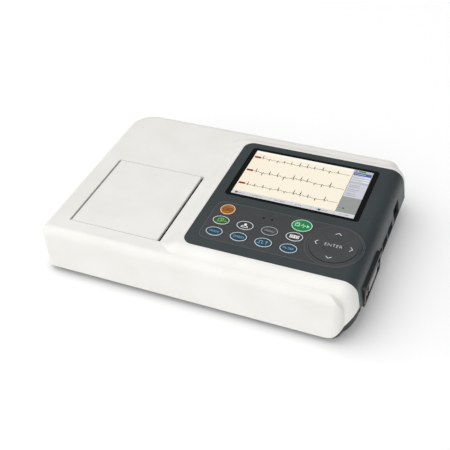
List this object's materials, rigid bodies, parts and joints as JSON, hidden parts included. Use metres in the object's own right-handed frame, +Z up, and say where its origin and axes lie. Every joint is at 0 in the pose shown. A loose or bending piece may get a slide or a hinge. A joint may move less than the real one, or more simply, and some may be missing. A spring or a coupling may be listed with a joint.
{
  "type": "ecg machine",
  "caption": "Portable ECG recorder with a flat paper door on the left deck and a raised, wrapped-over dark panel carrying a colour display, a keypad and a navigation pad.",
  "frame": {"origin": "on the table, under the middle of the whole recorder's bounding box", "axes": "+X from the paper side to the connector end, +Y away from the operator, +Z up"},
  "size_m": [0.2754, 0.1906, 0.0525],
  "materials": {
    "white_shell": "moulded warm white, fine matte texture",
    "dark_shell": "moulded dark grey",
    "panel_grey": "moulded slate grey, satin",
    "display_glass": "clear hard-coated acrylic with a black printed border",
    "display_module": "lit liquid crystal display in a steel case",
    "overlay_film": "printed polyester film",
    "circuit_board": "green circuit board",
    "zinc_steel": "zinc plated sheet steel",
    "steel": "bright steel",
    "light_pipe": "clear acrylic light pipe, unlit",
    "nylon": "natural nylon",
    "brass": "bright brass",
    "rubber": "black rubber",
    "head_aluminium": "milled aluminium",
    "tray_grey": "moulded grey",
    "paper": "thermal recording paper",
    "cardboard": "wound cardboard",
    "battery_wrap": "shrink-wrapped cells",
    "black_plastic": "moulded black",
    "key_orange": "printed orange key",
    "key_green": "printed green key",
    "key_dark_green": "printed dark green key",
    "key_grey": "printed dark grey key",
    "key_blue": "printed dark blue key"
  },
  "bodies": {
    "recorder": {"upper_housing": "white_shell", "lower_housing": "dark_shell", "control_panel": "panel_grey", "screen_window": "display_glass", "display_module": "display_module", "display_bracket": "zinc_steel", "keypad_overlay": "overlay_film", "keypad_board": "circuit_board", "main_board": "circuit_board", "lead_board": "circuit_board", "power_board": "circuit_board", "small_screws": "steel", "housing_screws": "steel", "hinge_pin": "steel", "chassis_pins": "steel", "status_lights": "light_pipe", "feed_motor": "zinc_steel", "printer_chassis": "zinc_steel", "head_spring": "steel", "paper_tray": "tray_grey", "lead_board_shield": "zinc_steel", "battery_pack": "battery_wrap", "battery_cover": "dark_shell", "speaker": "black_plastic", "data_sockets": "zinc_steel", "round_socket": "black_plastic", "lead_frame": "black_plastic", "patient_connector": "zinc_steel", "jack_posts": "steel", "mains_inlet": "black_plastic", "inlet_pins": "brass", "bonding_pin": "brass", "rubber_feet": "rubber"},
    "door": {"paper_door": "white_shell", "platen_bushes": "nylon"},
    "platen": {"platen_roller": "rubber", "platen_shaft": "steel", "platen_gear": "nylon"},
    "idler": {"idler_gear": "nylon"},
    "motor_rotor": {"motor_pinion": "brass", "motor_shaft": "steel"},
    "head": {"print_head": "head_aluminium"},
    "paper_reel": {"paper_roll": "paper", "paper_core": "cardboard", "paper_spindle": "tray_grey"},
    "power_key": {"power_key": "key_orange"},
    "print_key": {"print_key": "key_green"},
    "copy_key": {"copy_key": "key_dark_green"},
    "patient_key": {"patient_key": "key_grey"},
    "menu_key": {"menu_key": "key_grey"},
    "lead_key": {"lead_key": "key_grey"},
    "mode_key": {"mode_key": "key_blue"},
    "speed_key": {"speed_key": "key_blue"},
    "gain_key": {"gain_key": "key_blue"},
    "filter_key": {"filter_key": "key_blue"},
    "up_key": {"up_key": "key_grey"},
    "down_key": {"down_key": "key_grey"},
    "left_key": {"left_key": "key_grey"},
    "right_key": {"right_key": "key_grey"},
    "enter_key": {"enter_key": "key_grey"}
  },
  "joints": [
    {"name": "door_hinge", "type": "hinge", "parent": "recorder", "child": "door", "pos_m": [-0.1138, 0, 0.045], "axis": [0, -1, 0], "range_deg": [0, 90]},
    {"name": "platen_spin", "type": "hinge", "parent": "door", "child": "platen", "pos_m": [-0.0388, 0, 0.0384], "axis": [0, 1, 0], "continuous": true},
    {"name": "idler_spin", "type": "hinge", "parent": "recorder", "child": "idler", "pos_m": [-0.03986, 0, 0.0264], "axis": [0, 1, 0], "continuous": true},
    {"name": "motor_spin", "type": "hinge", "parent": "recorder", "child": "motor_rotor", "pos_m": [-0.04086, 0, 0.01499], "axis": [0, 1, 0], "continuous": true},
    {"name": "head_pivot", "type": "hinge", "parent": "recorder", "child": "head", "pos_m": [-0.0295, 0, 0.02292], "axis": [0, 1, 0], "range_deg": [0, 2], "stiffness_Nm_per_rad": 0.6, "springref_deg": -5.73},
    {"name": "paper_spin", "type": "hinge", "parent": "recorder", "child": "paper_reel", "pos_m": [-0.0883, 0, 0.0255], "axis": [0, 1, 0], "continuous": true},
    {"name": "power_key_press", "type": "slide", "parent": "recorder", "child": "power_key", "axis": [0, 0, -1], "range_m": [0, 0.0005], "stiffness_N_per_m": 900, "springref_m": -0.0006},
    {"name": "print_key_press", "type": "slide", "parent": "recorder", "child": "print_key", "axis": [0, 0, -1], "range_m": [0, 0.0005], "stiffness_N_per_m": 900, "springref_m": -0.0006},
    {"name": "copy_key_press", "type": "slide", "parent": "recorder", "child": "copy_key", "axis": [0, 0, -1], "range_m": [0, 0.0005], "stiffness_N_per_m": 900, "springref_m": -0.0006},
    {"name": "patient_key_press", "type": "slide", "parent": "recorder", "child": "patient_key", "axis": [0, 0, -1], "range_m": [0, 0.0005], "stiffness_N_per_m": 900, "springref_m": -0.0006},
    {"name": "menu_key_press", "type": "slide", "parent": "recorder", "child": "menu_key", "axis": [0, 0, -1], "range_m": [0, 0.0005], "stiffness_N_per_m": 900, "springref_m": -0.0006},
    {"name": "lead_key_press", "type": "slide", "parent": "recorder", "child": "lead_key", "axis": [0, 0, -1], "range_m": [0, 0.0005], "stiffness_N_per_m": 900, "springref_m": -0.0006},
    {"name": "mode_key_press", "type": "slide", "parent": "recorder", "child": "mode_key", "axis": [0, 0, -1], "range_m": [0, 0.0005], "stiffness_N_per_m": 900, "springref_m": -0.0006},
    {"name": "speed_key_press", "type": "slide", "parent": "recorder", "child": "speed_key", "axis": [0, 0, -1], "range_m": [0, 0.0005], "stiffness_N_per_m": 900, "springref_m": -0.0006},
    {"name": "gain_key_press", "type": "slide", "parent": "recorder", "child": "gain_key", "axis": [0, 0, -1], "range_m": [0, 0.0005], "stiffness_N_per_m": 900, "springref_m": -0.0006},
    {"name": "filter_key_press", "type": "slide", "parent": "recorder", "child": "filter_key", "axis": [0, 0, -1], "range_m": [0, 0.0005], "stiffness_N_per_m": 900, "springref_m": -0.0006},
    {"name": "up_key_press", "type": "slide", "parent": "recorder", "child": "up_key", "axis": [0, 0, -1], "range_m": [0, 0.0005], "stiffness_N_per_m": 900, "springref_m": -0.0006},
    {"name": "down_key_press", "type": "slide", "parent": "recorder", "child": "down_key", "axis": [0, 0, -1], "range_m": [0, 0.0005], "stiffness_N_per_m": 900, "springref_m": -0.0006},
    {"name": "left_key_press", "type": "slide", "parent": "recorder", "child": "left_key", "axis": [0, 0, -1], "range_m": [0, 0.0005], "stiffness_N_per_m": 900, "springref_m": -0.0006},
    {"name": "right_key_press", "type": "slide", "parent": "recorder", "child": "right_key", "axis": [0, 0, -1], "range_m": [0, 0.0005], "stiffness_N_per_m": 900, "springref_m": -0.0006},
    {"name": "enter_key_press", "type": "slide", "parent": "recorder", "child": "enter_key", "axis": [0, 0, -1], "range_m": [0, 0.0005], "stiffness_N_per_m": 900, "springref_m": -0.0006}
  ],
  "couplings": [
    {"joint": "idler_spin", "follows": "platen_spin", "ratio": -0.66667},
    {"joint": "motor_spin", "follows": "platen_spin", "ratio": 1.1429}
  ]
}
